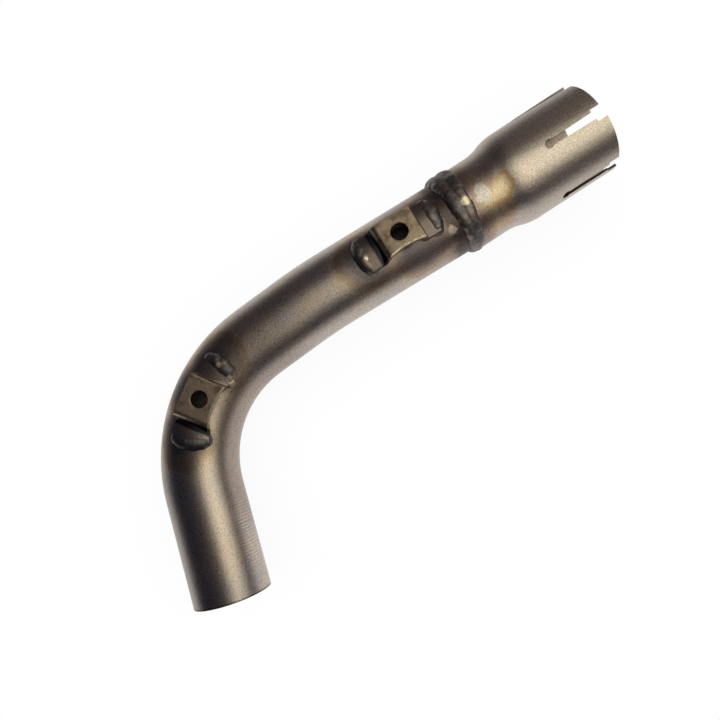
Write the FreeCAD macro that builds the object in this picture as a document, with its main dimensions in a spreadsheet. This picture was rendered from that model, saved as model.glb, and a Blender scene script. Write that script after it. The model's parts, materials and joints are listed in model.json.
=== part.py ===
import FreeCAD, Part
import math
import os
import Sketcher
from FreeCAD import Placement, Rotation, Vector

# Link pipe of a motorbike exhaust: a bent stainless tube, a slotted slip sleeve welded on
# its outlet to grip the silencer, and two pressed strip brackets that carry a heat shield.
# Each piece is drawn in a frame of its own. The pipe frame starts at the middle of the tube's
# free end, with the first leg along +Y, the bends turning right and the brackets on top.

# Driving sizes, in millimetres and degrees
SIZES = {
    # Bent tube, along its centreline from the free end
    "tube_diameter": 30.0,
    "tube_wall": 1.2,
    "inlet_leg": 40.9,
    "bend_radius": 53.5,
    "bend_angle": 70.6,
    "middle_run": 19.3,
    "easing_radius": 214.5,
    "easing_angle": 5.0,
    "outlet_run": 55.0,
    # Slip sleeve, along its own axis from the end that is welded to the tube
    "tube_overlap": 9.5,
    "slip_clearance": 0.2,
    "sleeve_lean": 1.8,
    "sleeve_wall": 1.0,
    "neck_length": 13.0,
    "flare_length": 13.2,
    "socket_length": 34.0,
    "socket_bore": 35.1,
    # Keyhole slots that let the socket close round the silencer's inlet
    "slot_count": 5,
    "slot_turn": 3.3,
    "slot_length": 22.9,
    "slot_root_width": 2.5,
    "slot_mouth_width": 3.2,
    "keyhole_diameter": 3.5,
    "notch_width": 5.5,
    "notch_length": 4.0,
    # Two passes of weld round the neck's end
    "root_pass_radius": 2.7,
    "root_pass_height": 2.0,
    "root_pass_setback": 0.9,
    "cap_pass_radius": 2.4,
    "cap_pass_height": 2.1,
    "cap_pass_advance": 1.2,
    # Pressed strip brackets: a flat plate between two joggles and two saddle feet. The joggle
    # towards the inlet slopes and is well rounded, the other one stands steep and sharp
    "strip_width": 13.5,
    "strip_thickness": 2.0,
    "plate_length": 15.4,
    "plate_gap": 2.2,
    "inlet_lean": 38.0,
    "outlet_lean": 8.0,
    "inlet_press_radius": 2.3,
    "outlet_press_radius": 0.6,
    "cavity_press_radius": 0.4,
    "inlet_foot": 6.2,
    "outlet_foot": 5.8,
    "foot_press_radius": 0.5,
    "waist_depth": 1.0,
    "hole_diameter": 6.4,
    "hole_edge_break": 0.3,
    # Places of the two holes: round the bend from its start, and back from the sleeve's welded end
    "bend_bracket_angle": 39.5,
    "straight_bracket_distance": 25.1,
    "bend_bracket_roll": 3.7,
    "straight_bracket_roll": 3.0,
    # Weld beads over the ends of the feet
    "bead_radius": 2.9,
    "bead_reach": 18.5,
}

# Sizes that follow from the driving ones
DERIVED = {
    "tube_radius": "=tube_diameter / 2",
    "hole_radius": "=hole_diameter / 2",
    "neck_bore_radius": "=tube_radius + slip_clearance",
    "neck_radius": "=neck_bore_radius + sleeve_wall",
    "socket_bore_radius": "=socket_bore / 2",
    "socket_radius": "=socket_bore_radius + sleeve_wall",
    "shoulder": "=neck_length + flare_length",
    "sleeve_length": "=shoulder + socket_length",
    "saddle_radius": "=tube_radius + strip_thickness",
    "plate_underside": "=tube_radius + plate_gap",
    "plate_top": "=plate_underside + strip_thickness",
    "inlet_corner": "=plate_length / 2 + plate_gap * tan(inlet_lean * 1 deg)",
    "outlet_corner": "=plate_length / 2 + plate_gap * tan(outlet_lean * 1 deg)",
    "inlet_reach": "=inlet_corner + inlet_foot",
    "outlet_reach": "=outlet_corner + outlet_foot",
    "waist_radius": "=((plate_length / 2) ^ 2 + waist_depth ^ 2) / (2 * waist_depth)",
    # Height inside the tube at which the blank of a bracket stops, before its seat is cut
    "blank_bottom": "=tube_radius / 2",
}

# Lengths that differ by less than this count as equal, and angles are solved to within it
SAME = 1e-4

doc = FreeCAD.newDocument("link_pipe")
sheet = doc.addObject("Spreadsheet::Sheet", "Sizes")
for row, (alias, content) in enumerate({**SIZES, **DERIVED}.items(), start=1):
    sheet.set(f"A{row}", alias)
    sheet.set(f"B{row}", str(content))
    sheet.setAlias(f"B{row}", alias)
doc.recompute()


def size(alias):
    return float(sheet.get(alias))


def worth(item, formula):
    """The value of a formula of the sheet's sizes, in millimetres or degrees."""
    value = item.evalExpression(formula)
    return float(getattr(value, "Value", value))


def bind(item, **formulas):
    for name, formula in formulas.items():
        item.setExpression(name, formula)


def new_body(label):
    body = doc.addObject("PartDesign::Body", label)
    body.Label = label
    return body


def new_sketch(body, role, name):
    sketch = body.newObject("Sketcher::SketchObject", name)
    plane = next(item for item in body.Origin.OriginFeatures if item.Role == role)
    sketch.AttachmentSupport = [(plane, "")]
    sketch.MapMode = "FlatFace"
    return sketch


def line(sketch, start, end):
    return sketch.addGeometry(Part.LineSegment(Vector(*start), Vector(*end)))


def arc(sketch, centre, radius, first, last):
    circle = Part.Circle(Vector(*centre), Vector(0, 0, 1), radius)
    return sketch.addGeometry(Part.ArcOfCircle(circle, math.radians(first), math.radians(last)))


def circle(sketch, radius):
    """A circle round the sketch's origin."""
    item = sketch.addGeometry(Part.Circle(Vector(), Vector(0, 0, 1), size(radius)))
    constrain(sketch, ("Coincident", item, 3, -1, 1))
    dimension(sketch, radius, f"Sizes.{radius}", "Radius", item)
    return item


def constrain(sketch, *rules):
    for rule in rules:
        sketch.addConstraint(Sketcher.Constraint(*rule))


def dimension(sketch, name, formula, kind, *geometry):
    """A dimension of a sketch, bound to a formula of the sheet's sizes."""
    value = worth(sketch, formula)
    if kind == "Angle":
        value = math.radians(value)
    index = sketch.addConstraint(Sketcher.Constraint(kind, *geometry, value))
    sketch.renameConstraint(index, name)
    sketch.setExpression(f"Constraints.{name}", formula)


def close_outline(sketch, edges):
    """Joins the end of each edge to the start of the next, all round."""
    for edge, following in zip(edges, edges[1:] + edges[:1]):
        constrain(sketch, ("Coincident", edge, 2, following, 1))


# Places along the centreline

def turning(radius, angle):
    """The move along an arc that turns right, about a point to the right of the start."""
    centre = Placement(Vector(0, -radius, 0), Rotation())
    return centre * Placement(Vector(), Rotation(Vector(0, 0, 1), -angle)) * centre.inverse()


def straight(length):
    return Placement(Vector(length, 0, 0), Rotation())


INLET = Placement(Vector(), Rotation(Vector(0, 0, 1), 90))
BEND_START = INLET * straight(size("inlet_leg"))
BEND_END = BEND_START * turning(size("bend_radius"), size("bend_angle"))
EASING_START = BEND_END * straight(size("middle_run"))
EASING_END = EASING_START * turning(size("easing_radius"), size("easing_angle"))
TUBE_END = EASING_END * straight(size("outlet_run") + size("tube_overlap"))
SLEEVE_WELD = EASING_END * straight(size("outlet_run"))
# The sleeve leans to the outer side, about the middle of its overlap with the tube
LEANING = (
    straight(size("tube_overlap") / 2)
    * Placement(Vector(), Rotation(Vector(0, 0, 1), size("sleeve_lean")))
    * straight(-size("tube_overlap") / 2)
)
SLOT_TURN = Placement(Vector(), Rotation(Vector(1, 0, 0), size("slot_turn")))
SLEEVE = SLEEVE_WELD * LEANING * SLOT_TURN
# One bracket sits a little to the inner side of the bends, the other to the outer side
BEND_BRACKET_ROLL = Placement(Vector(), Rotation(Vector(1, 0, 0), size("bend_bracket_roll")))
STRAIGHT_BRACKET_ROLL = Placement(Vector(), Rotation(Vector(1, 0, 0), -size("straight_bracket_roll")))
UNDER_BEND_BRACKET = BEND_START * turning(size("bend_radius"), size("bend_bracket_angle"))
UNDER_STRAIGHT_BRACKET = SLEEVE_WELD * straight(-size("straight_bracket_distance"))


def heading(place):
    return place.Rotation.getYawPitchRoll()[0]


# Bent tube

def path_line(sketch, start, end):
    return line(sketch, start.Base, end.Base)


def path_arc(sketch, start, end, radius):
    """A right turn: the arc itself runs the other way, from the turn's end to its start."""
    centre = start.multVec(Vector(0, -radius, 0))
    return arc(sketch, centre, radius, heading(end) + 90, heading(start) + 90)


def make_tube():
    body = new_body("link_tube")
    path = new_sketch(body, "XY_Plane", "centreline")
    leg = path_line(path, INLET, BEND_START)
    bend = path_arc(path, BEND_START, BEND_END, size("bend_radius"))
    middle = path_line(path, BEND_END, EASING_START)
    easing = path_arc(path, EASING_START, EASING_END, size("easing_radius"))
    outlet = path_line(path, EASING_END, TUBE_END)
    constrain(
        path,
        ("Coincident", leg, 1, -1, 1),
        ("Vertical", leg),
        ("Tangent", leg, 2, bend, 2),
        ("Tangent", bend, 1, middle, 1),
        ("Tangent", middle, 2, easing, 2),
        ("Tangent", easing, 1, outlet, 1),
    )
    dimension(path, "leg", "Sizes.inlet_leg", "Distance", leg)
    dimension(path, "bend_radius", "Sizes.bend_radius", "Radius", bend)
    dimension(path, "bend_angle", "Sizes.bend_angle * 1 deg", "Angle", bend)
    dimension(path, "middle", "Sizes.middle_run", "Distance", middle)
    dimension(path, "easing_radius", "Sizes.easing_radius", "Radius", easing)
    dimension(path, "easing_angle", "Sizes.easing_angle * 1 deg", "Angle", easing)
    dimension(path, "outlet", "Sizes.outlet_run + Sizes.tube_overlap", "Distance", outlet)

    section = new_sketch(body, "XZ_Plane", "section")
    outside = circle(section, "tube_radius")
    inside = section.addGeometry(Part.Circle(Vector(), Vector(0, 0, 1), size("tube_radius") / 2))
    constrain(section, ("Coincident", inside, 3, outside, 3))
    dimension(section, "bore", "Sizes.tube_radius - Sizes.tube_wall", "Radius", inside)
    doc.recompute()

    pipe = body.newObject("PartDesign::AdditivePipe", "tube")
    pipe.Profile = section
    pipe.Spine = (path, [f"Edge{number + 1}" for number in range(path.GeometryCount)])
    body.Tip = pipe
    return body


# Slip sleeve, along +X from its welded end

def sleeve_side(sketch, neck, socket):
    """The neck line, the two tangent arcs of the flare and the socket line of one side."""
    neck_length, shoulder, end = size("neck_length"), size("shoulder"), size("sleeve_length")
    rise = size(socket) - size(neck)
    run = shoulder - neck_length
    radius = (run ** 2 + rise ** 2) / (4 * rise)
    sweep = math.degrees(2 * math.atan(rise / run))
    edges = [
        line(sketch, (0, size(neck)), (neck_length, size(neck))),
        arc(sketch, (neck_length, size(neck) + radius), radius, -90, sweep - 90),
        arc(sketch, (shoulder, size(socket) - radius), radius, 90, 90 + sweep),
        line(sketch, (shoulder, size(socket)), (end, size(socket))),
    ]
    low, hollow, crown, high = edges
    constrain(
        sketch,
        ("Horizontal", low),
        ("Horizontal", high),
        ("Tangent", low, 2, hollow, 1),
        ("Tangent", hollow, 2, crown, 2),
        ("Tangent", crown, 1, high, 1),
        ("Equal", hollow, crown),
        ("PointOnObject", low, 1, -2),
    )
    dimension(sketch, neck, f"Sizes.{neck}", "DistanceY", -1, 1, low, 1)
    dimension(sketch, socket, f"Sizes.{socket}", "DistanceY", -1, 1, high, 1)
    dimension(sketch, f"{neck}_end", "Sizes.neck_length", "DistanceX", -1, 1, low, 2)
    dimension(sketch, f"{socket}_start", "Sizes.shoulder", "DistanceX", -1, 1, high, 1)
    dimension(sketch, f"{socket}_end", "Sizes.sleeve_length", "DistanceX", -1, 1, high, 2)
    return edges


def half_slot(sketch, side):
    """One long side of the slot, from the keyhole to the mouth; side is +1 or -1."""
    end = size("sleeve_length")
    keyhole = end - size("slot_length")
    notch = end - size("notch_length")
    root = (keyhole + size("keyhole_diameter") / 3, side * size("slot_root_width") / 2)
    step = (notch, side * size("slot_mouth_width") / 2)
    corner = (notch, side * size("notch_width") / 2)
    mouth = (end + size("notch_length"), side * size("notch_width") / 2)
    edges = [line(sketch, root, step), line(sketch, step, corner), line(sketch, corner, mouth)]
    for edge, following in zip(edges, edges[1:]):
        constrain(sketch, ("Coincident", edge, 2, following, 1))
    constrain(sketch, ("Horizontal", edges[2]))
    return edges


def slot_outline(sketch):
    upper = half_slot(sketch, 1)
    lower = half_slot(sketch, -1)
    end = size("sleeve_length")
    reach = end + size("notch_length")
    half = size("notch_width") / 2
    cap = line(sketch, (reach, half), (reach, -half))
    keyhole_centre = (end - size("slot_length"), 0)
    opening = math.degrees(math.asin(size("slot_root_width") / size("keyhole_diameter")))
    keyhole = arc(sketch, keyhole_centre, size("keyhole_diameter") / 2, opening, 360 - opening)
    constrain(
        sketch,
        ("Vertical", cap),
        ("Coincident", upper[2], 2, cap, 1),
        ("Coincident", lower[2], 2, cap, 2),
        ("Coincident", keyhole, 1, upper[0], 1),
        ("Coincident", keyhole, 2, lower[0], 1),
        ("Vertical", upper[1]),
        ("Symmetric", upper[0], 1, lower[0], 1, -1),
        ("Symmetric", upper[0], 2, lower[0], 2, -1),
        ("Symmetric", upper[2], 1, lower[2], 1, -1),
    )
    dimension(sketch, "keyhole", "Sizes.keyhole_diameter / 2", "Radius", keyhole)
    dimension(sketch, "root", "Sizes.slot_root_width", "DistanceY", lower[0], 1, upper[0], 1)
    dimension(sketch, "step", "Sizes.slot_mouth_width", "DistanceY", lower[0], 2, upper[0], 2)
    dimension(sketch, "notch", "Sizes.notch_width", "DistanceY", lower[2], 1, upper[2], 1)
    dimension(sketch, "keyhole_place", "Sizes.sleeve_length - Sizes.slot_length",
              "DistanceX", -1, 1, keyhole, 3)
    dimension(sketch, "notch_place", "Sizes.sleeve_length - Sizes.notch_length",
              "DistanceX", -1, 1, upper[0], 2)
    dimension(sketch, "past_mouth", "Sizes.sleeve_length + Sizes.notch_length",
              "DistanceX", -1, 1, cap, 1)


def make_sleeve():
    body = new_body("slip_sleeve")
    profile = new_sketch(body, "XY_Plane", "wall")
    outside = sleeve_side(profile, "neck_radius", "socket_radius")
    inside = sleeve_side(profile, "neck_bore_radius", "socket_bore_radius")
    end = size("sleeve_length")
    welded_face = line(profile, (0, size("neck_bore_radius")), (0, size("neck_radius")))
    mouth_face = line(profile, (end, size("socket_bore_radius")), (end, size("socket_radius")))
    constrain(
        profile,
        ("Coincident", welded_face, 1, inside[0], 1),
        ("Coincident", welded_face, 2, outside[0], 1),
        ("Coincident", mouth_face, 1, inside[3], 2),
        ("Coincident", mouth_face, 2, outside[3], 2),
    )
    doc.recompute()
    shell = body.newObject("PartDesign::Revolution", "shell")
    shell.Profile = profile
    shell.ReferenceAxis = (profile, ["H_Axis"])
    doc.recompute()

    outline = new_sketch(body, "XY_Plane", "slot_outline")
    slot_outline(outline)
    slot = body.newObject("PartDesign::Pocket", "slot")
    slot.Profile = outline
    slot.Type = "Length"
    slot.Reversed = True
    bind(slot, Length="Sizes.socket_radius * 2")
    body.Tip = slot
    doc.recompute()

    slots = body.newObject("PartDesign::PolarPattern", "slots")
    slots.Originals = [slot]
    slots.Axis = (profile, ["H_Axis"])
    bind(slots, Occurrences="Sizes.slot_count")
    body.Tip = slots
    return body


# Pressed strip bracket, in a frame on the tube's axis below the plate, with +X along the tube

def trapezium(sketch, lengths, height):
    """An outline with its top at a height and both sides leaning out down to the blank's bottom."""
    level, bottom = size(height), size("blank_bottom")
    inlet_top, outlet_top = (worth(sketch, lengths[end]) for end in ("inlet", "outlet"))
    inlet_foot, outlet_foot = (
        worth(sketch, lengths[end]) + (level - bottom) * math.tan(math.radians(size(f"{end}_lean")))
        for end in ("inlet", "outlet")
    )
    edges = [
        line(sketch, (-inlet_top, level), (outlet_top, level)),
        line(sketch, (outlet_top, level), (outlet_foot, bottom)),
        line(sketch, (outlet_foot, bottom), (-inlet_foot, bottom)),
        line(sketch, (-inlet_foot, bottom), (-inlet_top, level)),
    ]
    close_outline(sketch, edges)
    constrain(sketch, ("Horizontal", edges[0]), ("Horizontal", edges[2]))
    dimension(sketch, "inlet_length", lengths["inlet"], "DistanceX", edges[0], 1, -1, 1)
    dimension(sketch, "outlet_length", lengths["outlet"], "DistanceX", -1, 1, edges[0], 2)
    dimension(sketch, "level", f"Sizes.{height}", "DistanceY", -1, 1, edges[0], 2)
    dimension(sketch, "bottom", "Sizes.blank_bottom", "DistanceY", -1, 1, edges[2], 1)
    dimension(sketch, "outlet_lean", "(90 + Sizes.outlet_lean) * 1 deg", "Angle", edges[0], 2, edges[1], 1)
    dimension(sketch, "inlet_lean", "(90 + Sizes.inlet_lean) * 1 deg", "Angle", edges[3], 2, edges[0], 1)


def saddle_section(sketch):
    """The strip over the tube, seen along it: a round top, two upright sides and a flat bottom."""
    half, bottom, radius = size("strip_width") / 2, size("blank_bottom"), size("saddle_radius")
    first = math.degrees(math.acos(half / radius))
    side = math.sqrt(radius ** 2 - half ** 2)
    edges = [
        arc(sketch, (0, 0), radius, first, 180 - first),
        line(sketch, (-half, side), (-half, bottom)),
        line(sketch, (-half, bottom), (half, bottom)),
        line(sketch, (half, bottom), (half, side)),
    ]
    close_outline(sketch, edges)
    constrain(
        sketch,
        ("Coincident", edges[0], 3, -1, 1),
        ("Vertical", edges[1]),
        ("Vertical", edges[3]),
        ("Symmetric", edges[2], 1, edges[2], 2, -2),
    )
    dimension(sketch, "top", "Sizes.saddle_radius", "Radius", edges[0])
    dimension(sketch, "width", "Sizes.strip_width", "Distance", edges[2])
    dimension(sketch, "bottom", "Sizes.blank_bottom", "DistanceY", -1, 1, edges[2], 1)


def straight_saddle(body, section):
    saddle = body.newObject("PartDesign::Pad", "saddle")
    saddle.Profile = section
    saddle.SideType = "Two sides"
    bind(saddle, Length="Sizes.outlet_reach", Length2="Sizes.inlet_reach")
    doc.recompute()


def turn_with_bend(body, section, kind, name):
    """A feature that turns a section about the bend's own axis, over the length of the strip."""
    axis = line(section, (-size("bend_radius"), 0), (-size("bend_radius"), size("tube_radius")))
    section.setConstruction(axis, True)
    constrain(section, ("Vertical", axis), ("PointOnObject", axis, 1, -1))
    dimension(section, "bend", "Sizes.bend_radius", "DistanceX", axis, 1, -1, 1)
    dimension(section, "axis_height", "Sizes.tube_radius", "Distance", axis)
    doc.recompute()
    feature = body.newObject(f"PartDesign::{kind}", name)
    feature.Profile = section
    feature.ReferenceAxis = (section, ["Axis0"])
    feature.Type = "TwoAngles"
    bind(
        feature,
        Angle="Sizes.inlet_reach / Sizes.bend_radius * 180 / pi",
        Angle2="Sizes.outlet_reach / Sizes.bend_radius * 180 / pi",
    )
    doc.recompute()


def bent_saddle(body, section):
    turn_with_bend(body, section, "Revolution", "saddle")


def trim_to_bend(body):
    """Takes off the outer corners of the joggle walls, which would stand out past the bent feet."""
    section = new_sketch(body, "YZ_Plane", "wall_trim")
    side, past = size("strip_width") / 2, size("strip_width")
    bottom, top = size("blank_bottom"), size("plate_underside")
    edges = [
        line(section, (side, bottom), (past, bottom)),
        line(section, (past, bottom), (past, top)),
        line(section, (past, top), (side, top)),
        line(section, (side, top), (side, bottom)),
    ]
    close_outline(section, edges)
    constrain(section, ("Horizontal", edges[0]), ("Vertical", edges[1]),
              ("Horizontal", edges[2]), ("Vertical", edges[3]))
    dimension(section, "side", "Sizes.strip_width / 2", "DistanceX", -1, 1, edges[3], 1)
    dimension(section, "past", "Sizes.strip_width", "DistanceX", -1, 1, edges[1], 1)
    dimension(section, "bottom", "Sizes.blank_bottom", "DistanceY", -1, 1, edges[0], 1)
    dimension(section, "top", "Sizes.plate_underside", "DistanceY", -1, 1, edges[2], 1)
    turn_with_bend(body, section, "Groove", "wall_ends")


# Which way the ends of a bracket lie along its X axis
SIDES = {"inlet": -1, "outlet": 1}


def edges_across(feature, height, side):
    """Names of the straight edges across the strip that lie at a height, on one side."""
    names = []
    for number, edge in enumerate(feature.Shape.Edges, start=1):
        ends = [vertex.Point for vertex in edge.Vertexes]
        across = len(ends) == 2 and edge.Length - abs((ends[1] - ends[0]).y) < SAME
        if across and all(abs(point.z - height) < SAME and point.x * side > 0 for point in ends):
            names.append(f"Edge{number}")
    return names


def rims(feature, height, radius):
    """Names of the round edges of a radius that lie at a height."""
    names = []
    for number, edge in enumerate(feature.Shape.Edges, start=1):
        if edge.Curve.TypeId == "Part::GeomCircle":
            if abs(edge.Curve.Radius - radius) < SAME and abs(edge.Curve.Center.z - height) < SAME:
                names.append(f"Edge{number}")
    return names


def round_edges(body, name, base, edges, radius):
    fillet = body.newObject("PartDesign::Fillet", name)
    fillet.Base = (base, edges)
    bind(fillet, Radius=f"Sizes.{radius}")
    body.Tip = fillet
    doc.recompute()
    return fillet


def press_joggles(body):
    """The raised plate and its two joggle walls, hollow below."""
    outside = new_sketch(body, "XZ_Plane", "hat_outline")
    half = "Sizes.plate_length / 2"
    trapezium(outside, {"inlet": half, "outlet": half}, "plate_top")
    hat = body.newObject("PartDesign::Pad", "hat")
    hat.Profile = outside
    hat.SideType = "Symmetric"
    bind(hat, Length="Sizes.strip_width")
    doc.recompute()
    rounded = hat
    for end, side in SIDES.items():
        bends = edges_across(rounded, size("plate_top"), side)
        rounded = round_edges(body, f"{end}_bend", rounded, bends, f"{end}_press_radius")

    inside = new_sketch(body, "XZ_Plane", "cavity_outline")
    lengths = {}
    for end in SIDES:
        lean = f"(Sizes.{end}_lean * 1 deg)"
        lengths[end] = f"{half} - Sizes.strip_thickness * (1 - sin{lean}) / cos{lean}"
    trapezium(inside, lengths, "plate_underside")
    cavity = body.newObject("PartDesign::Pocket", "cavity")
    cavity.Profile = inside
    cavity.SideType = "Symmetric"
    bind(cavity, Length="Sizes.strip_width * 2")
    doc.recompute()
    height = size("plate_underside")
    corners = [name for side in SIDES.values() for name in edges_across(cavity, height, side)]
    round_edges(body, "cavity_bends", cavity, corners, "cavity_press_radius")


def cut_up(body, sketch, name):
    """Cuts a sketch of the bracket's ground plane upwards through the plate."""
    doc.recompute()
    cut = body.newObject("PartDesign::Pocket", name)
    cut.Profile = sketch
    cut.Reversed = True
    bind(cut, Length="Sizes.plate_top * 2")
    doc.recompute()
    return cut


def trim_plate(body):
    """The hollow edge on the inner side of the bends, and the screw hole with its broken edge."""
    hollow = new_sketch(body, "XY_Plane", "waist_outline")
    centre = Vector(0, size("waist_depth") - size("strip_width") / 2 - size("waist_radius"), 0)
    edge = hollow.addGeometry(Part.Circle(centre, Vector(0, 0, 1), size("waist_radius")))
    constrain(hollow, ("PointOnObject", edge, 3, -2))
    dimension(hollow, "waist", "Sizes.waist_radius", "Radius", edge)
    dimension(hollow, "place", "Sizes.waist_radius + Sizes.strip_width / 2 - Sizes.waist_depth",
              "DistanceY", edge, 3, -1, 1)
    cut_up(body, hollow, "waist")

    outline = new_sketch(body, "XY_Plane", "hole_outline")
    circle(outline, "hole_radius")
    hole = cut_up(body, outline, "screw_hole")
    edge_break = body.newObject("PartDesign::Chamfer", "hole_edge")
    edge_break.Base = (hole, rims(hole, size("plate_top"), size("hole_radius")))
    bind(edge_break, Size="Sizes.hole_edge_break")
    body.Tip = edge_break
    doc.recompute()


def round_joggle_foot(body, end, side):
    """The hollow corner where a joggle wall turns into its saddle foot."""
    base = body.Tip
    corner = size(f"{end}_corner") * side
    names = []
    for number, edge in enumerate(base.Shape.Edges, start=1):
        middle = edge.valueAt((edge.FirstParameter + edge.LastParameter) / 2)
        at_corner = abs(middle.x - corner) < size("strip_thickness") / 2
        on_saddle = abs(middle.z - size("saddle_radius")) < size("strip_thickness") / 4
        if at_corner and on_saddle and edge.Length > size("strip_width") / 2:
            names.append(f"Edge{number}")
    round_edges(body, f"{end}_foot_bend", base, names, "foot_press_radius")


def make_blank(label, bent):
    """The pressed strip, before the tube's own form is cut out of its feet."""
    blank = new_body(f"{label}_blank")
    section = new_sketch(blank, "YZ_Plane", "saddle_section")
    saddle_section(section)
    doc.recompute()
    if bent:
        bent_saddle(blank, section)
    else:
        straight_saddle(blank, section)
    press_joggles(blank)
    if bent:
        trim_to_bend(blank)
    for end, side in SIDES.items():
        round_joggle_foot(blank, end, side)
    trim_plate(blank)
    return blank


# Weld beads

def cut_away(label, base, tool):
    cut = doc.addObject("Part::Cut", label)
    cut.Label = label
    cut.Base = base
    cut.Tool = tool
    cut.Refine = True
    return cut


def fuse(label, *shapes):
    joined = doc.addObject("Part::MultiFuse", label)
    joined.Shapes = list(shapes)
    joined.Refine = True
    return joined


def ring(label, place, **formulas):
    """A torus round the place's X axis."""
    torus = doc.addObject("Part::Torus", label)
    bind(torus, **formulas)
    torus.Placement = place * Placement(Vector(), Rotation(Vector(0, 1, 0), -90))
    return torus


def rod(label, place, radius, length):
    """A cylinder along the place's X axis."""
    cylinder = doc.addObject("Part::Cylinder", label)
    bind(cylinder, Radius=radius, Height=length)
    cylinder.Placement = place * Placement(Vector(), Rotation(Vector(0, 1, 0), 90))
    return cylinder


def make_sleeve_weld():
    """Two overlapping passes, seated on the tube and against the end of the neck."""
    root = ring(
        "root_pass", straight(-size("root_pass_setback")),
        Radius1="Sizes.tube_radius + Sizes.root_pass_height - Sizes.root_pass_radius",
        Radius2="Sizes.root_pass_radius",
    )
    cap = ring(
        "cap_pass", straight(size("cap_pass_advance")),
        Radius1="Sizes.tube_radius + Sizes.cap_pass_height - Sizes.cap_pass_radius",
        Radius2="Sizes.cap_pass_radius",
    )
    start = straight(-size("neck_length"))
    tube_core = rod("tube_core", start, "Sizes.tube_radius", "Sizes.neck_length * 2")
    neck_core = rod("neck_core", LEANING, "Sizes.neck_radius", "Sizes.neck_length")
    return cut_away("sleeve_weld", fuse("passes", root, cap), fuse("weld_cores", tube_core, neck_core))


def make_bead(label, place, seat, blank):
    """A rounded bead across the end of a foot, bent to the tube, cut clear of tube and strip."""
    reach = size("bead_reach")
    start = place * Placement(Vector(), Rotation(Vector(1, 0, 0), reach))
    middle = ring(f"{label}_middle", start, Radius1="Sizes.tube_radius", Radius2="Sizes.bead_radius",
                  Angle3="Sizes.bead_reach * 2")
    ends = []
    for side in (-reach, reach):
        end = doc.addObject("Part::Sphere", f"{label}_end")
        bind(end, Radius="Sizes.bead_radius")
        turn = Placement(Vector(), Rotation(Vector(1, 0, 0), side))
        end.Placement = place * turn * Placement(Vector(0, 0, size("tube_radius")), Rotation())
        ends.append(end)
    on_tube = cut_away(f"{label}_on_tube", fuse(f"{label}_whole", middle, *ends), seat)
    return cut_away(label, on_tube, blank)


# The tube's own form under each bracket, in the bracket's frame

def bend_seat(tube_frame):
    seat = doc.addObject("Part::Torus", "bend_seat")
    bind(seat, Radius1="Sizes.bend_radius", Radius2="Sizes.tube_radius")
    seat.Placement = tube_frame * Placement(Vector(0, -size("bend_radius"), 0), Rotation())
    return seat


def straight_seat(tube_frame):
    start = tube_frame * straight(-2 * size("inlet_reach"))
    return rod("straight_seat", start, "Sizes.tube_radius", "Sizes.inlet_reach * 4")


def along_bend(distance):
    return turning(size("bend_radius"), math.degrees(distance / size("bend_radius")))


# Every piece, with the place of its frame in the pipe frame

pieces = [
    (make_tube(), Placement()),
    (make_sleeve(), SLEEVE),
    (make_sleeve_weld(), SLEEVE_WELD),
]
for label, under, roll, bent, make_seat, along in (
    ("bend_bracket", UNDER_BEND_BRACKET, BEND_BRACKET_ROLL, True, bend_seat, along_bend),
    ("straight_bracket", UNDER_STRAIGHT_BRACKET, STRAIGHT_BRACKET_ROLL, False, straight_seat, straight),
):
    tube_frame = roll.inverse()
    blank = make_blank(label, bent)
    seat = make_seat(tube_frame)
    pieces.append((cut_away(label, blank, seat), under * roll))
    for end, distance in (("inlet", -size("inlet_reach")), ("outlet", size("outlet_reach"))):
        across = tube_frame * along(distance) * roll
        bead = make_bead(f"{label}_{end}_weld", across, seat, blank)
        pieces.append((bead, under * roll))
doc.recompute()


# How the pipe lies: on the shoulder of the socket and on the bend, with its weight over the
# line between the two. The sleeve is thicker than the tube, so the outlet lies a little raised.

def centre_of_mass():
    total = sum(piece.Shape.Volume for piece, _ in pieces)
    moment = Vector()
    for piece, place in pieces:
        moment += place.multVec(piece.Shape.CenterOfGravity) * (piece.Shape.Volume / total)
    return moment


def lying_place():
    weight = centre_of_mass()
    shoulder = SLEEVE.multVec(Vector(size("shoulder"), 0, 0))

    def overhang(angle):
        """Where the weight falls beside the line from the bend to the shoulder."""
        touch = (BEND_START * turning(size("bend_radius"), angle)).Base
        return (shoulder - touch).cross(weight - touch).z

    low, high = 0.0, size("bend_angle")
    while high - low > SAME:
        middle = (low + high) / 2
        if overhang(middle) * overhang(low) > 0:
            low = middle
        else:
            high = middle
    touch = BEND_START * turning(size("bend_radius"), low)
    span = -touch.inverse().multVec(shoulder).y
    tilt = math.degrees(math.asin((size("socket_radius") - size("tube_radius")) / span))
    tilted = touch * Placement(Vector(), Rotation(Vector(1, 0, 0), -tilt)) * touch.inverse()
    return Placement(Vector(), Rotation(Vector(0, 0, 1), -heading(EASING_END))) * tilted


lying = lying_place()
for piece, place in pieces:
    piece.Placement = lying * place
doc.recompute()

box = FreeCAD.BoundBox()
for piece, _ in pieces:
    box.add(piece.Shape.optimalBoundingBox(False))
ground = Placement(Vector(-box.Center.x, -box.Center.y, -box.ZMin), Rotation())
for piece, place in pieces:
    piece.Placement = ground * lying * place
doc.recompute()

for item in doc.Objects:
    if {"Invalid", "Error"} & set(item.State):
        raise RuntimeError(f"{item.Label} did not build")
for piece, _ in pieces:
    if piece.Shape.isNull() or not piece.Shape.isValid():
        raise RuntimeError(f"{piece.Label} has no valid shape")

os.makedirs("parts", exist_ok=True)
for piece, _ in pieces:
    piece.Shape.exportStep(f"parts/{piece.Label}.step")
    print(piece.Label, len(piece.Shape.Solids), round(piece.Shape.Volume, 1))
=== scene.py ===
import bpy
import json
import math
import random
from mathutils import Matrix, Vector


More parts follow.
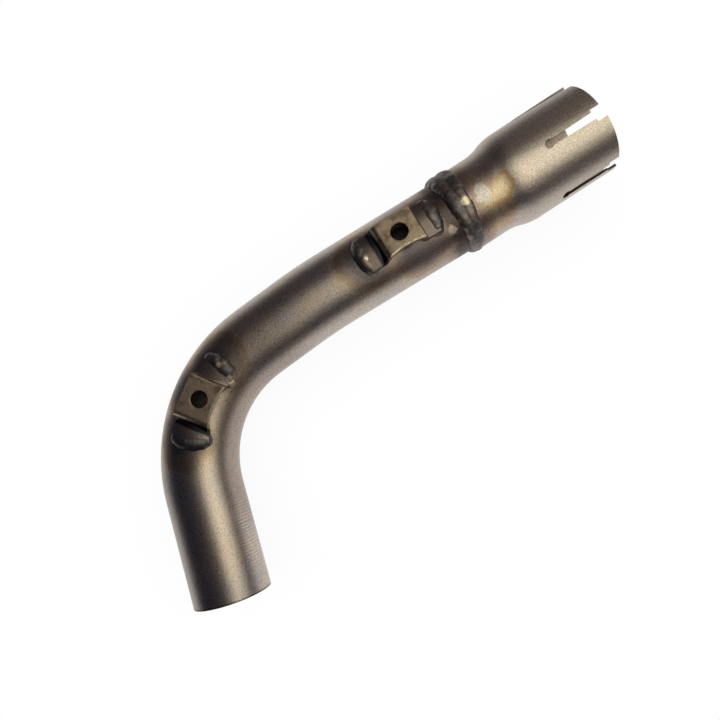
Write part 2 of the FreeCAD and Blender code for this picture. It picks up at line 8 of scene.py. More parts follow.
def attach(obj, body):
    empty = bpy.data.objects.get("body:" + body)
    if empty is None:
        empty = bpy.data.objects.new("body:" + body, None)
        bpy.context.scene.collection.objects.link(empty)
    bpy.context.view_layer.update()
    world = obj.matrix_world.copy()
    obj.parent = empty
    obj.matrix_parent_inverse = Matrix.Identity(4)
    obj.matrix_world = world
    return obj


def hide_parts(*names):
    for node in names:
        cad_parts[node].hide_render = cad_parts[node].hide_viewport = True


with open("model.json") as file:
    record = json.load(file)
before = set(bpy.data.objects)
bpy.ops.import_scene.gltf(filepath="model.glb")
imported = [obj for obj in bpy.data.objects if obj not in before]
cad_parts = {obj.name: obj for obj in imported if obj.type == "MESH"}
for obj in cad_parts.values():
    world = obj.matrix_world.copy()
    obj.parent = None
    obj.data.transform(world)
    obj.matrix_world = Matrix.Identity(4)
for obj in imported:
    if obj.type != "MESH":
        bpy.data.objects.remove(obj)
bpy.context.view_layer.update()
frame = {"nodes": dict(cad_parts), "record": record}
print("frame:", ", ".join(sorted(frame["nodes"])))

mm = 0.001
mounts = {mount["name"]: mount for mount in frame["record"]["mounts"]}


# places along the tube, in millimetres from its free end

pathSet = {"leg": 40.9, "bendRadius": 53.5, "bendAngle": 70.6, "middle": 19.3,
           "easingRadius": 214.5, "easingAngle": 5.0, "outlet": 55.0, "tubeRadius": 15.0,
           "bendHoleAngle": 39.5, "straightHole": 29.9,  # the brackets' holes, in the bend and past the easing
           "inletFoot": 15.6, "outletFoot": 13.8,  # from a hole to the ends of its bracket's feet
           "lineEnd": 1000.0}  # the outlet run's line goes on past the sleeve

legAxis = -Vector(mounts["inlet_spigot"]["axis"]).normalized()
upAxis = Vector(mounts["outlet_socket"]["axis"]).cross(legAxis).normalized()  # square to the bends' plane
legMiddle = Vector(mounts["inlet_spigot"]["pos_m"]) / mm
freeEnd = Matrix((legAxis, upAxis.cross(legAxis), upAxis)).transposed().to_4x4()
freeEnd.translation = legMiddle - legAxis * pathSet["leg"] / 2
runs = [(pathSet["leg"], 0),  # length and bend radius, 0 where straight
        (math.radians(pathSet["bendAngle"]) * pathSet["bendRadius"], pathSet["bendRadius"]),
        (pathSet["middle"], 0),
        (math.radians(pathSet["easingAngle"]) * pathSet["easingRadius"], pathSet["easingRadius"]),
        (pathSet["lineEnd"], 0)]


def alongTube(distance):  # x along the tube, y to the outer side, z up
    place = freeEnd
    for length, radius in runs:
        step = min(distance, length)
        if radius:
            centre = Matrix.Translation((0, -radius, 0))
            place = place @ centre @ Matrix.Rotation(-step / radius, 4, "Z") @ centre.inverted()
        else:
            place = place @ Matrix.Translation((step, 0, 0))
        distance -= step
    return place


def onTube(distance, angle, radius):  # angle from the top towards the outer side
    turn = Matrix.Rotation(-math.radians(angle), 4, "X")
    return alongTube(distance) @ turn @ Matrix.Translation((0, 0, radius))


def spot(distance, angle, radius=pathSet["tubeRadius"]):
    return onTube(distance, angle, radius).translation


bendHole = pathSet["leg"] + math.radians(pathSet["bendHoleAngle"]) * pathSet["bendRadius"]
easingEnd = sum(length for length, radius in runs[:-1])
straightHole = easingEnd + pathSet["straightHole"]
neckStart = easingEnd + pathSet["outlet"]
neckPoint = spot(neckStart, 0, 0)
neckAxis = alongTube(neckStart).col[0].xyz
footEnds = {"bendInlet": bendHole - pathSet["inletFoot"], "bendOutlet": bendHole + pathSet["outletFoot"],
            "straightInlet": straightHole - pathSet["inletFoot"],
            "straightOutlet": straightHole + pathSet["outletFoot"]}


# shader maths

class Wire:  # a socket that takes Python arithmetic
    def __init__(self, finish, socket):
        self.finish = finish
        self.socket = socket

    def maths(self, operation, *values):
        return self.finish.node("ShaderNodeMath", {"operation": operation}, dict(enumerate(values)))

    def __add__(self, other):
        return self.maths("ADD", self, other)

    def __sub__(self, other):
        return self.maths("SUBTRACT", self, other)

    def __rsub__(self, other):
        return self.maths("SUBTRACT", other, self)

    def __mul__(self, other):
        return self.maths("MULTIPLY", self, other)

    __radd__ = __add__
    __rmul__ = __mul__

    def lower(self, other):
        return self.maths("MINIMUM", self, other)

    def higher(self, other):
        return self.maths("MAXIMUM", self, other)

    def size(self):
        return self.maths("ABSOLUTE", self)

    def root(self):
        return self.maths("SQRT", self)

    def wave(self):
        return self.maths("SINE", self)

    def rise(self, low, high):  # smooth step from 0 at low to 1 at high
        return self.finish.node("ShaderNodeMapRange", {"interpolation_type": "SMOOTHSTEP"},
                                {0: self, 1: low, 2: high})

    def fade(self, low, high):
        return 1 - self.rise(low, high)


class Finish:  # one material and its nodes
    def __init__(self, name, tree=None):
        if tree is None:
            self.material = bpy.data.materials.new(name)
            self.material.use_nodes = True
            tree = self.material.node_tree
        self.tree = tree
        self.shader = tree.nodes.get("Principled BSDF")

    def node(self, kind, settings=None, inputs=None, out=0):
        made = self.tree.nodes.new(kind)
        for name, value in (settings or {}).items():
            setattr(made, name, value)
        for name, value in (inputs or {}).items():
            self.plug(made.inputs[name], value)
        return Wire(self, made.outputs[out])

    def plug(self, socket, value):
        if isinstance(value, Wire):
            self.tree.links.new(value.socket, socket)
        elif socket.type == "RGBA":
            socket.default_value = (*value, 1)
        else:
            socket.default_value = value

    def set(self, inputs):
        for name, value in inputs.items():
            self.plug(self.shader.inputs[name], value)

    def place(self):  # Object coordinates in millimetres
        metres = self.node("ShaderNodeTexCoord", None, None, "Object")
        return self.node("ShaderNodeVectorMath", {"operation": "SCALE"}, {0: metres, "Scale": 1 / mm})

    def noise(self, place, scale, detail=2.0, roughness=0.5):
        return self.node("ShaderNodeTexNoise", None,
                         {"Vector": place, "Scale": scale, "Detail": detail, "Roughness": roughness})

    def drift(self, place, width, scale, detail=2.0):  # uneven offset, up to half the width either way
        return (self.noise(place, scale, detail) - 0.5) * width

    def vectors(self, operation, first, second, out=0):
        return self.node("ShaderNodeVectorMath", {"operation": operation}, {0: first, 1: second}, out)

    def away(self, place, point):  # distance from a point
        return self.vectors("DISTANCE", place, point, "Value")

    def along(self, place, point, direction):  # signed distance past a point
        offset = self.vectors("SUBTRACT", place, point)
        return self.vectors("DOT_PRODUCT", offset, direction, "Value")

    def off(self, place, point, direction):  # distance from a line
        crossed = self.vectors("CROSS_PRODUCT", self.vectors("SUBTRACT", place, point), direction)
        return self.node("ShaderNodeVectorMath", {"operation": "LENGTH"}, {0: crossed}, "Value")

    def blend(self, share, first, second):  # sockets 6 and 7 are the two colours
        return self.node("ShaderNodeMix", {"data_type": "RGBA"}, {0: share, 6: first, 7: second}, 2)

    def stain(self, colour, reach, span, tint, share=1.0):  # full up to the span's start, gone at its end
        mask = reach.fade(*span)
        return self.blend(mask if share == 1.0 else mask * share, colour, tint)

    def shade(self, colour, strength):  # a colour times a value
        grey = self.node("ShaderNodeCombineColor", None, {0: strength, 1: strength, 2: strength})
        return self.node("ShaderNodeMix", {"data_type": "RGBA", "blend_type": "MULTIPLY"},
                         {0: 1.0, 6: colour, 7: grey}, 2)

    def bump(self, height, strength, depth):
        return self.node("ShaderNodeBump", None, {"Strength": strength, "Distance": depth, "Height": height})


def dress(node, finish):
    frame["nodes"][node].data.materials.clear()
    frame["nodes"][node].data.materials.append(finish.material)


# heat-tinted stainless, on the tube and the sleeve: a span is where a tint starts to fade and where it is gone

steelSet = {"plain": (0.49, 0.41, 0.335), "cool": (0.44, 0.385, 0.35), "straw": (0.49, 0.395, 0.275),
            "rim": (0.37, 0.28, 0.195), "brown": (0.27, 0.205, 0.175), "blue": (0.17, 0.15, 0.15),
            # paintedShade: painted shade, used under the plates, inside the bore and on the tube's cut end
            "deep": (0.105, 0.08, 0.07), "paintedShade": (0.016, 0.014, 0.014), "speck": (0.08, 0.07, 0.065),
            "strawSpan": (9.0, 14.0), "strawShare": 0.5, "rimSpan": (7.5, 10.0), "brownSpan": (5.0, 8.0),
            "blueSpan": (1.5, 5.0), "wanderScale": 0.16, "wanderDetail": 3.0,
            "grain": 2.1, "grainRough": 0.6, "grainShare": 0.85, "clouds": 0.06, "coolFrom": (0.38, 0.62),
            "roughness": 0.35, "uneven": 0.16, "bump": 0.3, "bumpDepth": 0.0003}


def steelGrain(finish, place):  # plain steel, how light its blasted grain makes it, and the grain
    fine = finish.noise(place, steelSet["grain"], roughness=steelSet["grainRough"])
    broad = finish.noise(place, steelSet["clouds"])
    colour = finish.blend(broad.rise(*steelSet["coolFrom"]), steelSet["plain"], steelSet["cool"])
    level = 1 + (fine - 0.5) * (2 * steelSet["grainShare"])
    return colour, level, fine


def heatTint(finish, colour, heat):  # heat is the distance in millimetres from the welded spot
    colour = finish.stain(colour, heat, steelSet["strawSpan"], steelSet["straw"], steelSet["strawShare"])
    for tint in ("rim", "brown", "blue"):
        colour = finish.stain(colour, heat, steelSet[f"{tint}Span"], steelSet[tint])
    return colour


tubeSet = {"wander": 6.0, "spotSize": 3.5, "ringSize": 4.0,
           "heatAndShadeSpots": ((footEnds["bendInlet"], 10), (bendHole, 22), (footEnds["bendOutlet"], 8),
                         # the spot by the straight plate's hollow edge is heat tint and painted shade under the
                         # plate
                         (footEnds["straightInlet"], 0), (straightHole + 4, -26),
                         (footEnds["straightOutlet"], 0)),
           "ringBrownSpan": (8.0, 34.0), "ringBrownShare": 0.55, "ringDeepSpan": (3.0, 6.0),
           "underPlates": ((bendHole, 0.75), (straightHole, 1.0)), "underSpan": (3.6, 6.0),
           "innerShadeSpan": (39.0, 44.5), "innerShadeShare": 0.6,
           "paleAt": (straightHole + 17.6, -30), "paleSpan": (1.3, 2.2), "paleRagged": 3.0, "paleScale": 0.6,
           "speckScale": 0.9, "speckDetail": 1.0, "speckFrom": (0.70, 0.76), "speckShare": 0.45,
           "boreSpan": (14.6, 14.9), "boreEnd": (40.0, 41.0), "edgeShadeSpan": (0.2, 0.8), "edgeShadeShare": 0.8,
           "markPitch": 1.2, "markFrom": (6.0, 12.0), "markEnd": (32.0, 37.0),
           "markScale": 0.25, "markBreaks": (0.25, 0.6),
           "markInner": (-12.6, -10.0), "markOuter": (10.0, 13.0), "markOuterShare": 0.5,
           "markShade": 0.22, "markBump": 0.2, "heatRoughSpan": (2.0, 8.0), "heatRough": 0.12}

tubeFinish = Finish("tubeSteel")
place = tubeFinish.place()
colour, level, fine = steelGrain(tubeFinish, place)
wander = tubeFinish.drift(place, tubeSet["wander"], steelSet["wanderScale"], steelSet["wanderDetail"])
ringReach = tubeFinish.along(place, neckPoint, neckAxis).size() - tubeSet["ringSize"] + wander
heat = ringReach  # from the nearest weld
for distance, angle in tubeSet["heatAndShadeSpots"]:
    heat = heat.lower(tubeFinish.away(place, spot(distance, angle)) - tubeSet["spotSize"] + wander)
colour = heatTint(tubeFinish, colour, heat)
colour = tubeFinish.stain(colour, ringReach, tubeSet["ringBrownSpan"], steelSet["brown"], tubeSet["ringBrownShare"])
colour = tubeFinish.stain(colour, ringReach, tubeSet["ringDeepSpan"], steelSet["deep"])
for hole, share in tubeSet["underPlates"]:  # shaded tube under the plates
    under = tubeFinish.away(place, spot(hole, 0))
    colour = tubeFinish.stain(colour, under, tubeSet["underSpan"], steelSet["paintedShade"], share)
bendCentre = alongTube(pathSet["leg"]) @ Vector((0, -pathSet["bendRadius"], 0))
innerShade = tubeFinish.off(place, bendCentre, upAxis)  # painted shade: browner inside the bend
colour = tubeFinish.stain(colour, innerShade, tubeSet["innerShadeSpan"], steelSet["brown"], tubeSet["innerShadeShare"])
paleHighlight = tubeFinish.away(place, spot(*tubeSet["paleAt"]))  # painted highlight: a pale patch by the straight bracket
paleHighlight = paleHighlight + tubeFinish.drift(place, tubeSet["paleRagged"], tubeSet["paleScale"])
colour = tubeFinish.stain(colour, paleHighlight, tubeSet["paleSpan"], steelSet["plain"])
specks = tubeFinish.noise(place, tubeSet["speckScale"], tubeSet["speckDetail"]).rise(*tubeSet["speckFrom"])
colour = tubeFinish.blend(specks * tubeSet["speckShare"], colour, steelSet["speck"])
legDistance = tubeFinish.along(place, freeEnd.translation, legAxis)
boreShade = tubeFinish.off(place, freeEnd.translation, legAxis).fade(*tubeSet["boreSpan"])  # painted shade inside the bore
colour = tubeFinish.blend(boreShade * legDistance.fade(*tubeSet["boreEnd"]), colour, steelSet["paintedShade"])
# painted shade: the rim of the tube's cut end darkened
colour = tubeFinish.stain(colour, legDistance, tubeSet["edgeShadeSpan"], steelSet["paintedShade"], tubeSet["edgeShadeShare"])
marks = (legDistance * (2 * math.pi / tubeSet["markPitch"])).wave()  # ring marks on the leg's two sides
marks = marks * legDistance.rise(*tubeSet["markFrom"]) * legDistance.fade(*tubeSet["markEnd"])
marks = marks * tubeFinish.noise(place, tubeSet["markScale"]).rise(*tubeSet["markBreaks"])
sideways = tubeFinish.along(place, freeEnd.translation, freeEnd.col[1].xyz)
outer = sideways.rise(*tubeSet["markOuter"]) * tubeSet["markOuterShare"]
marks = marks * (sideways.fade(*tubeSet["markInner"]) + outer)
heatRough = heat.fade(*tubeSet["heatRoughSpan"]) * tubeSet["heatRough"]
tubeFinish.set({"Metallic": 1.0,
                "Base Color": tubeFinish.shade(colour, level + marks * tubeSet["markShade"]),
                "Roughness": steelSet["roughness"] + (fine - 0.5) * steelSet["uneven"] + heatRough,
                "Normal": tubeFinish.bump(fine + marks * tubeSet["markBump"],
                                          steelSet["bump"], steelSet["bumpDepth"])})
dress("link_tube", tubeFinish)
print("tube dressed")


# slip sleeve: brown by the weld, a bare patch and gold on the flare, straw at the socket, painted shade on its
# inside and cut faces

sleeveSet = {"bare": (0.44, 0.40, 0.35), "orange": (0.44, 0.265, 0.12), "gold": (0.50, 0.40, 0.26),
             "socket": (0.465, 0.402, 0.335), "shadedInside": (0.27, 0.225, 0.185), "shadedCut": (0.17, 0.14, 0.125),
             "wander": 7.0, "socketFrom": (18.0, 32.0),
             "goldAt": (13.8, -15, 17.0), "goldWander": 1.5,  # past the neck's start, angle and radius
             "orangeSpan": (4.5, 8.5), "goldSpan": (2.5, 5.5),
             "topBrownAt": (10.5, 9, 16.8), "topBrownSpan": (3.0, 8.0), "topBrownShare": 0.85,
             "lowGoldAt": (12.0, -58, 17.0), "lowGoldSpan": (3.0, 7.0), "lowGoldShare": 0.55,
             "heatWander": 0.6, "heatFrom": 1.0,
             "bareAt": ((5.4, -8, 16.4), (11.6, -6, 16.4)), "bareSpan": (5.6, 6.4),
             "bareRagged": 5.0, "bareScale": 0.4,
             "merge": 0.002, "smoothAngle": 30.0, "wallSlope": 0.5,
             "tongue": (-3.3, 68.7), "keyholeAt": -5.9, "mouthAt": 17.0, "press": 0.8}
wallSides = {"shadedInside": 1.0, "shadedCut": 2.0}  # 0 on the outside


def pastNeck(distance, angle, radius):
    return spot(neckStart + distance, angle, radius)


sleeveFinish = Finish("sleeveSteel")
place = sleeveFinish.place()
colour, level, fine = steelGrain(sleeveFinish, place)
wander = sleeveFinish.drift(place, sleeveSet["wander"], steelSet["wanderScale"], steelSet["wanderDetail"])
neckDistance = sleeveFinish.along(place, neckPoint, neckAxis)
colour = sleeveFinish.blend(neckDistance.rise(*sleeveSet["socketFrom"]), colour, sleeveSet["socket"])
gold = sleeveFinish.away(place, pastNeck(*sleeveSet["goldAt"])) + wander * sleeveSet["goldWander"]
colour = sleeveFinish.stain(colour, gold, sleeveSet["orangeSpan"], sleeveSet["orange"])
colour = sleeveFinish.stain(colour, gold, sleeveSet["goldSpan"], sleeveSet["gold"])
for patch, tint in (("topBrown", steelSet["brown"]), ("lowGold", sleeveSet["orange"])):
    reach = sleeveFinish.away(place, pastNeck(*sleeveSet[f"{patch}At"])) + wander
    colour = sleeveFinish.stain(colour, reach, sleeveSet[f"{patch}Span"], tint, sleeveSet[f"{patch}Share"])
colour = heatTint(sleeveFinish, colour, neckDistance + wander * sleeveSet["heatWander"] + sleeveSet["heatFrom"])
first, second = (sleeveFinish.away(place, pastNeck(*at)) for at in sleeveSet["bareAt"])
bare = first.higher(second) + sleeveFinish.drift(place, sleeveSet["bareRagged"], sleeveSet["bareScale"])
colour = sleeveFinish.stain(colour, bare, sleeveSet["bareSpan"], sleeveSet["bare"])  # where two rounds overlap
# painted shade: the sleeve's inside faces and its slots' cut faces are darkened
wallSide = sleeveFinish.node("ShaderNodeAttribute", {"attribute_name": "wallSide"}, None, "Fac")
for side in ("shadedInside", "shadedCut"):
    isSide = wallSide.rise(wallSides[side] - 0.6, wallSides[side] - 0.4)  # half way from the one before
    colour = sleeveFinish.blend(isSide, colour, sleeveSet[side])
sleeveFinish.set({"Metallic": 1.0, "Base Color": sleeveFinish.shade(colour, level),
                  "Roughness": steelSet["roughness"] + (fine - 0.5) * steelSet["uneven"],
                  "Normal": sleeveFinish.bump(fine, steelSet["bump"], steelSet["bumpDepth"])})

# the tongue beside the top slot is pressed in from its keyhole on
socketAxis = Vector(mounts["outlet_socket"]["axis"])
socketMiddle = Vector(mounts["outlet_socket"]["pos_m"]) / mm
socketUp = (upAxis - socketAxis * upAxis.dot(socketAxis)).normalized()
socketOut = socketUp.cross(socketAxis)
sleeve = bpy.data.objects.new("slipSleeve", frame["nodes"]["slip_sleeve"].data.copy())
bpy.context.scene.collection.objects.link(sleeve)
bpy.ops.object.select_all(action="DESELECT")
sleeve.select_set(True)
bpy.context.view_layer.objects.active = sleeve
bpy.ops.mesh.customdata_custom_splitnormals_clear()
bpy.ops.object.mode_set(mode="EDIT")
bpy.ops.mesh.select_all(action="SELECT")
bpy.ops.mesh.remove_doubles(threshold=sleeveSet["merge"] * mm)
bpy.ops.mesh.bisect(plane_co=(socketMiddle + socketAxis * sleeveSet["keyholeAt"]) * mm, plane_no=socketAxis)
bpy.ops.object.mode_set(mode="OBJECT")
faceSides = sleeve.data.attributes.new("wallSide", "FLOAT", "FACE")
for face in sleeve.data.polygons:
    offset = face.center / mm - socketMiddle
    outwards = (offset - socketAxis * offset.dot(socketAxis)).normalized().dot(face.normal)
    if outwards < sleeveSet["wallSlope"]:
        side = "shadedInside" if outwards < -sleeveSet["wallSlope"] else "shadedCut"
        faceSides.data[face.index].value = wallSides[side]
for point in sleeve.data.vertices:
    offset = point.co / mm - socketMiddle
    past = offset.dot(socketAxis) - sleeveSet["keyholeAt"]
    angle = math.degrees(math.atan2(offset.dot(socketOut), offset.dot(socketUp)))
    if past > 0 and sleeveSet["tongue"][0] < angle < sleeveSet["tongue"][1]:
        inwards = -(socketUp * offset.dot(socketUp) + socketOut * offset.dot(socketOut)).normalized()
        share = past / (sleeveSet["mouthAt"] - sleeveSet["keyholeAt"])
        point.co += inwards * sleeveSet["press"] * share * mm
bpy.ops.object.shade_smooth_by_angle(angle=math.radians(sleeveSet["smoothAngle"]))
sleeve.data.materials.clear()
sleeve.data.materials.append(sleeveFinish.material)
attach(sleeve, "root")
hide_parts("slip_sleeve")
print("sleeve made", len(sleeve.data.polygons), "faces")


# strip brackets: olive-brown plates, darker feet, the joggle and the hole's wall painted black as painted shade,
# the bend bracket painted lighter and the straight one darker as painted light and shade, and a bright burr on the
# hollow edge

bracketSet = {"plate": (0.54, 0.412, 0.29), "stain": (0.22, 0.16, 0.11), "foot": (0.215, 0.178, 0.158),
              "shadeBlack": (0.032, 0.03, 0.036), "burr": (0.86, 0.77, 0.53),
              # level: painted light and shade, the bend bracket's colours made lighter and the straight bracket's
              # darker
              "roll": {"bend": -3.7, "straight": 3.0}, "level": {"bend": 1.12, "straight": 0.76},
              "stainFrom": (0.44, 0.62), "stainShare": 0.8,
              "footSpan": (17.3, 18.4), "footShare": 0.85,  # heights are above the tube's centre line
              "joggleFrom": (-12.0, -10.9), "joggleEnd": (-9.0, -8.5),
              "holeSpan": (3.3, 3.6), "holeTop": (18.6, 18.9),
              "waistRadius": 30.145, "waistCentre": -35.895,
              "burrSpan": (0.25, 0.9), "burrFrom": (18.7, 19.0), "burrBreaks": (0.35, 0.5),
              "fine": (1.3, 3.0, 0.65), "broad": (0.22, 3.0),  # noise scale, detail and roughness
              "grainShare": 0.25, "roughness": 0.40, "uneven": 0.2, "bump": 0.25, "bumpDepth": 0.0004}


def bracketFinish(name, hole, roll, level):
    finish = Finish(name)
    place = finish.place()
    here = alongTube(hole) @ Matrix.Rotation(-math.radians(roll), 4, "X")
    lengthwise, crosswise, height = (finish.along(place, here.translation, here.col[index].xyz)
                                     for index in range(3))
    fine = finish.noise(place, *bracketSet["fine"])
    broad = finish.noise(place, *bracketSet["broad"])
    # plate, stain and foot scaled by level as painted light and shade
    plate, stain, foot = (tuple(level * part for part in bracketSet[tint]) for tint in ("plate", "stain", "foot"))
    colour = finish.blend(broad.rise(*bracketSet["stainFrom"]) * bracketSet["stainShare"], plate, stain)
    colour = finish.stain(colour, height, bracketSet["footSpan"], foot, bracketSet["footShare"])
    # painted shade: the joggle's step and the hole's wall painted near black
    joggleShade = lengthwise.rise(*bracketSet["joggleFrom"]) * lengthwise.fade(*bracketSet["joggleEnd"])
    holeShade = finish.off(place, here.translation, here.col[2].xyz).fade(*bracketSet["holeSpan"])
    holeShade = holeShade * height.fade(*bracketSet["holeTop"])
    colour = finish.blend(joggleShade.higher(holeShade), colour, bracketSet["shadeBlack"])
    fromCentre = crosswise - bracketSet["waistCentre"]
    waist = (lengthwise * lengthwise + fromCentre * fromCentre).root() - bracketSet["waistRadius"]
    burr = waist.fade(*bracketSet["burrSpan"]) * height.rise(*bracketSet["burrFrom"])
    colour = finish.blend(burr * broad.rise(*bracketSet["burrBreaks"]), colour, bracketSet["burr"])
    grain = 1 + (fine - 0.5) * (2 * bracketSet["grainShare"])
    finish.set({"Metallic": 1.0, "Base Color": finish.shade(colour, grain),
                "Roughness": bracketSet["roughness"] + (fine - 0.5) * bracketSet["uneven"],
                "Normal": finish.bump(fine, bracketSet["bump"], bracketSet["bumpDepth"])})
    return finish


for bracket, hole in (("bend", bendHole), ("straight", straightHole)):
    steel = bracketFinish(f"{bracket}BracketSteel", hole, bracketSet["roll"][bracket], bracketSet["level"][bracket])
    dress(f"{bracket}_bracket", steel)
print("brackets dressed")


# rippled weld beads, each a row of overlapping drops melted into one skin

weldSet = {"dark": (0.225, 0.18, 0.15), "blue": (0.115, 0.107, 0.112), "bright": (0.40, 0.35, 0.30),
           "glint": (0.80, 0.70, 0.48), "fine": (1.6, 3.0, 0.7), "broad": (0.35, 3.0, 0.6),
           "blueFrom": (0.40, 0.60), "brightFrom": (0.55, 0.70), "brightShare": 0.5,
           "darkestSpan": (7.0, 10.0), "darkestShare": 0.75,
           "glintSpots": ((neckStart + 1.6, -5, 17.0, 1.6), (bendHole + 11.8, -23, 16.8, 1.9),  # place and width
                      (bendHole + 14.6, -1, 17.8, 1.0), (straightHole - 15.0, -2, 17.6, 0.8)),
           "glintRagged": 3.0, "glintEdge": 0.4,
           "roughness": 0.40, "uneven": 0.16, "bump": 0.2, "bumpDepth": 0.0004,
           "dropSegments": 24, "dropRings": 16, "sink": 0.35, "voxel": 0.17, "meltFactor": 0.5, "melt": 32,
           "seed": 5}

weldFinish = Finish("weldMetal")
place = weldFinish.place()
fine = weldFinish.noise(place, *weldSet["fine"])
broad = weldFinish.noise(place, *weldSet["broad"])
colour = weldFinish.blend(broad.rise(*weldSet["blueFrom"]), weldSet["dark"], weldSet["blue"])
colour = weldFinish.blend(fine.rise(*weldSet["brightFrom"]) * weldSet["brightShare"], colour, weldSet["bright"])
darkest = weldFinish.away(place, spot(footEnds["bendInlet"], 0))
colour = weldFinish.stain(colour, darkest, weldSet["darkestSpan"], weldSet["blue"], weldSet["darkestShare"])
for distance, angle, radius, wide in weldSet["glintSpots"]:  # painted highlights: bright glints on the beads
    paintedGlint = weldFinish.away(place, spot(distance, angle, radius)) + (fine - 0.5) * weldSet["glintRagged"]
    span = (wide - weldSet["glintEdge"], wide + weldSet["glintEdge"])
    colour = weldFinish.stain(colour, paintedGlint, span, weldSet["glint"])
weldFinish.set({"Metallic": 1.0, "Base Color": colour,
                "Roughness": weldSet["roughness"] + broad * weldSet["uneven"],
                "Normal": weldFinish.bump(fine, weldSet["bump"], weldSet["bumpDepth"])})

bpy.ops.object.select_all(action="DESELECT")
bpy.ops.mesh.primitive_uv_sphere_add(segments=weldSet["dropSegments"], ring_count=weldSet["dropRings"], radius=1.0)
drop = bpy.context.object
drop.name = "weldDrop"
bpy.ops.object.mode_set(mode="EDIT")
bpy.ops.mesh.bisect(plane_co=(0, 0, 0), plane_no=(0, 0, 1), clear_inner=True, use_fill=True)
bpy.ops.object.mode_set(mode="OBJECT")


def weldBead(name, node, places):  # places: where each drop sits, with its half sizes along, across and up
    bpy.ops.object.select_all(action="DESELECT")
    for index, (where, (along, across, up)) in enumerate(places):
        copy = drop.copy()
        copy.data = drop.data.copy()
        copy.name = f"{name}Drop{index}"
        bpy.context.scene.collection.objects.link(copy)
        sunk = Matrix.Translation((0, 0, -weldSet["sink"]))
        scale = Matrix.Diagonal((along, across, up + weldSet["sink"], 1))
        copy.data.transform(Matrix.Scale(mm, 4) @ where @ sunk @ scale)
        copy.select_set(True)
        if index == 0:
            bpy.context.view_layer.objects.active = copy
    bpy.ops.object.join()
    bead = bpy.context.object
    bead.name = name
    skin = bead.modifiers.new("skin", "REMESH")
    skin.mode = "VOXEL"
    skin.voxel_size = weldSet["voxel"] * mm
    bpy.ops.object.modifier_apply(modifier="skin")
    melt = bead.modifiers.new("melt", "SMOOTH")
    melt.factor = weldSet["meltFactor"]
    melt.iterations = weldSet["melt"]
    bpy.ops.object.modifier_apply(modifier="melt")
    bpy.ops.object.shade_smooth()
    bead.data.materials.clear()
    bead.data.materials.append(weldFinish.material)
    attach(bead, "root")
    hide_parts(node)
    print(name, len(bead.data.polygons), "faces")


chance = random.Random(weldSet["seed"])


def jitter(width):
    return chance.uniform(-width, width)


# two passes round the tube, wider on one side
ringSet = {"drops": 44, "passes": ((-1, 0.0, 1.8), (1, 0.5, 1.95)),  # side, start in drops and height
           "apart": 1.2, "along": 2.9, "across": (3.2, 4.4),
           "spread": 1.5, "widestAt": 60.0, "wideApart": 0.5, "wideUp": 0.15, "wideAlong": 0.4,
           "placeJitter": 0.15, "upJitter": (0.94, 1.04), "alongJitter": 0.4, "angleJitter": 0.5}
ringDrops = []
for side, start, height in ringSet["passes"]:
    for index in range(ringSet["drops"]):
        angle = 360 * (index + start) / ringSet["drops"]
        wide = math.cos(math.radians(angle - ringSet["widestAt"])) * ringSet["spread"]
        distance = neckStart + side * ringSet["apart"] + side * wide * ringSet["wideApart"]
        distance += jitter(ringSet["placeJitter"])
        up = (height + wide * ringSet["wideUp"]) * chance.uniform(*ringSet["upJitter"])
        along = ringSet["along"] + wide * ringSet["wideAlong"] + jitter(ringSet["alongJitter"])
        across = chance.uniform(*ringSet["across"])
        angle += jitter(ringSet["angleJitter"])
        ringDrops.append((onTube(distance, angle, pathSet["tubeRadius"]), (along, across, up)))
weldBead("sleeveWeldBead", "sleeve_weld", ringDrops)

# a bead over the end of each foot, hooked round its corners
footSet = {"drops": 9, "reach": 20.5, "hook": 0.9, "wrap": 2.4, "along": 3.3, "across": 3.4, "up": 2.55,
           "narrowing": 0.18,
           "shift": {"bendInlet": -0.9, "bendOutlet": 0.9, "straightInlet": -0.2, "straightOutlet": -0.2},
           "placeJitter": 0.35, "angleJitter": 0.4, "alongJitter": (0.92, 1.06), "upJitter": (0.94, 1.03)}
for bracket in ("bend", "straight"):
    for end, towardsHole in (("Inlet", 1), ("Outlet", -1)):
        foot = f"{bracket}{end}"
        footDrops = []
        for index in range(footSet["drops"]):
            share = 2 * index / (footSet["drops"] - 1) - 1  # -1 at the inner corner, 1 at the outer one
            hook = footSet["hook"] + (footSet["wrap"] if foot == "bendOutlet" and share < 0 else 0)
            distance = footEnds[foot] + footSet["shift"][foot] + towardsHole * hook * share ** 4
            distance += jitter(footSet["placeJitter"])
            angle = footSet["reach"] * share + bracketSet["roll"][bracket] + jitter(footSet["angleJitter"])
            endSize = 1 - footSet["narrowing"] * share ** 2
            along = footSet["along"] * endSize * chance.uniform(*footSet["alongJitter"])
            up = footSet["up"] * endSize * chance.uniform(*footSet["upJitter"])
            sizes = (along, footSet["across"] * endSize, up)
            footDrops.append((onTube(distance, angle, pathSet["tubeRadius"]), sizes))
        weldBead(f"{foot}Bead", f"{bracket}_bracket_{end.lower()}_weld", footDrops)
bpy.data.objects.remove(drop, do_unlink=True)
print("welds made")


# floor, light, room and camera: the first two in metres

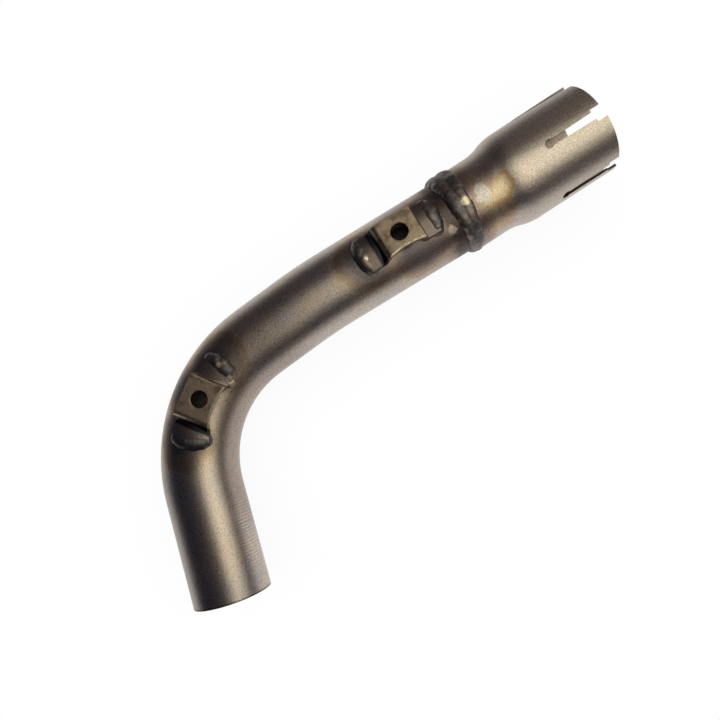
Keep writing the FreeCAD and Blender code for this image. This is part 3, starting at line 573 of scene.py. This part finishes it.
stageSet = {"floorSize": 6.0, "floorColour": (0.9, 0.9, 0.9), "floorRoughness": 0.9, "glow": (1.0, 1.0, 1.0),
            "shadow": 0.07, "shadowReach": 0.03, "shadowSamples": 3,
            "glowMiddle": (0.02, -0.05, 0.0), "sideGlow": (-0.20, -0.02, 0.0), "sideDrop": 0.14,
            "glowSpan": (0.10, 0.30), "farGlow": 0.15}
lightSet = {"place": (0.25, -0.055, 0.35), "wide": 0.50, "deep": 0.39, "watts": 1.05, "colour": (1.0, 0.98, 0.84)}
roomSet = {"bright": (0.092, 0.080, 0.096), "dim": (0.026, 0.026, 0.041), "corner": (0.20, 0.17, 0.165),
           "brightWay": (1.0, 0.0, 0.0), "brightFrom": (-0.7, 0.6),
           "cornerWay": (0.72, 0.62, 0.3), "cornerFrom": (0.72, 1.0)}
cameraSet = {"place": (-8.808, -18.210, 257.222), "turn": (4.2336, 2.8383, -30.864),  # mm and degrees
             "lens": 30.99, "sensor": 36.0, "nearest": 0.01}

bpy.ops.object.select_all(action="DESELECT")
bpy.ops.mesh.primitive_plane_add(size=stageSet["floorSize"])
floor = bpy.context.object
floor.name = "floor"
floorFinish = Finish("floorWhite")
toCamera, toGloss, toGlass = (floorFinish.node("ShaderNodeLightPath", None, None, f"Is {ray} Ray")
                              for ray in ("Camera", "Glossy", "Transmission"))
toObject = toGloss.higher(toGlass)
floorPlace = floorFinish.node("ShaderNodeTexCoord", None, None, "Object")
nearest = floorFinish.away(floorPlace, Vector(stageSet["glowMiddle"])).lower(
    floorFinish.away(floorPlace, Vector(stageSet["sideGlow"])) + stageSet["sideDrop"])
dimming = nearest.rise(*stageSet["glowSpan"]) * (1 - stageSet["farGlow"])  # the metal sees the floor near it
shadow = 1 - floorFinish.node("ShaderNodeAmbientOcclusion", {"samples": stageSet["shadowSamples"]},
                              {"Distance": stageSet["shadowReach"]}, "AO")
floorFinish.set({"Roughness": stageSet["floorRoughness"], "Base Color": stageSet["floorColour"]})
strength = toCamera * (1 - shadow * stageSet["shadow"]) + toObject * (1 - dimming)
glow = floorFinish.node("ShaderNodeEmission", None, {"Color": stageSet["glow"], "Strength": strength})
plainFloor = Wire(floorFinish, floorFinish.shader.outputs[0])
mixed = floorFinish.node("ShaderNodeMixShader", None, {0: toCamera + toObject, 1: plainFloor, 2: glow})
floorFinish.plug(floorFinish.tree.nodes["Material Output"].inputs["Surface"], mixed)
floor.data.materials.append(floorFinish.material)

bpy.ops.object.light_add(type="AREA", location=lightSet["place"])
softbox = bpy.context.object
softbox.data.shape = "RECTANGLE"
softbox.data.size = lightSet["wide"]
softbox.data.size_y = lightSet["deep"]
softbox.data.energy = lightSet["watts"]
softbox.data.color = lightSet["colour"]

world = bpy.data.worlds.new("room")
world.use_nodes = True
room = Finish("room", world.node_tree)
facing = room.node("ShaderNodeTexCoord", None, None, "Generated")
roomLight = roomSet["dim"]
for part in ("bright", "corner"):
    towards = room.along(facing, Vector((0, 0, 0)), Vector(roomSet[f"{part}Way"]))
    roomLight = room.blend(towards.rise(*roomSet[f"{part}From"]), roomLight, roomSet[part])
backdrop = room.node("ShaderNodeLightPath", None, None, "Is Camera Ray")  # the metal sees the dim room
room.plug(world.node_tree.nodes["Background"].inputs["Color"], room.blend(backdrop, roomLight, stageSet["glow"]))
bpy.context.scene.world = world

bpy.ops.object.camera_add(location=Vector(cameraSet["place"]) * mm,
                          rotation=[math.radians(angle) for angle in cameraSet["turn"]])
camera = bpy.context.object
camera.data.lens = cameraSet["lens"]
camera.data.sensor_width = cameraSet["sensor"]
camera.data.clip_start = cameraSet["nearest"]
bpy.context.scene.camera = camera
bpy.context.scene.view_settings.view_transform = "Standard"
print("stage set")
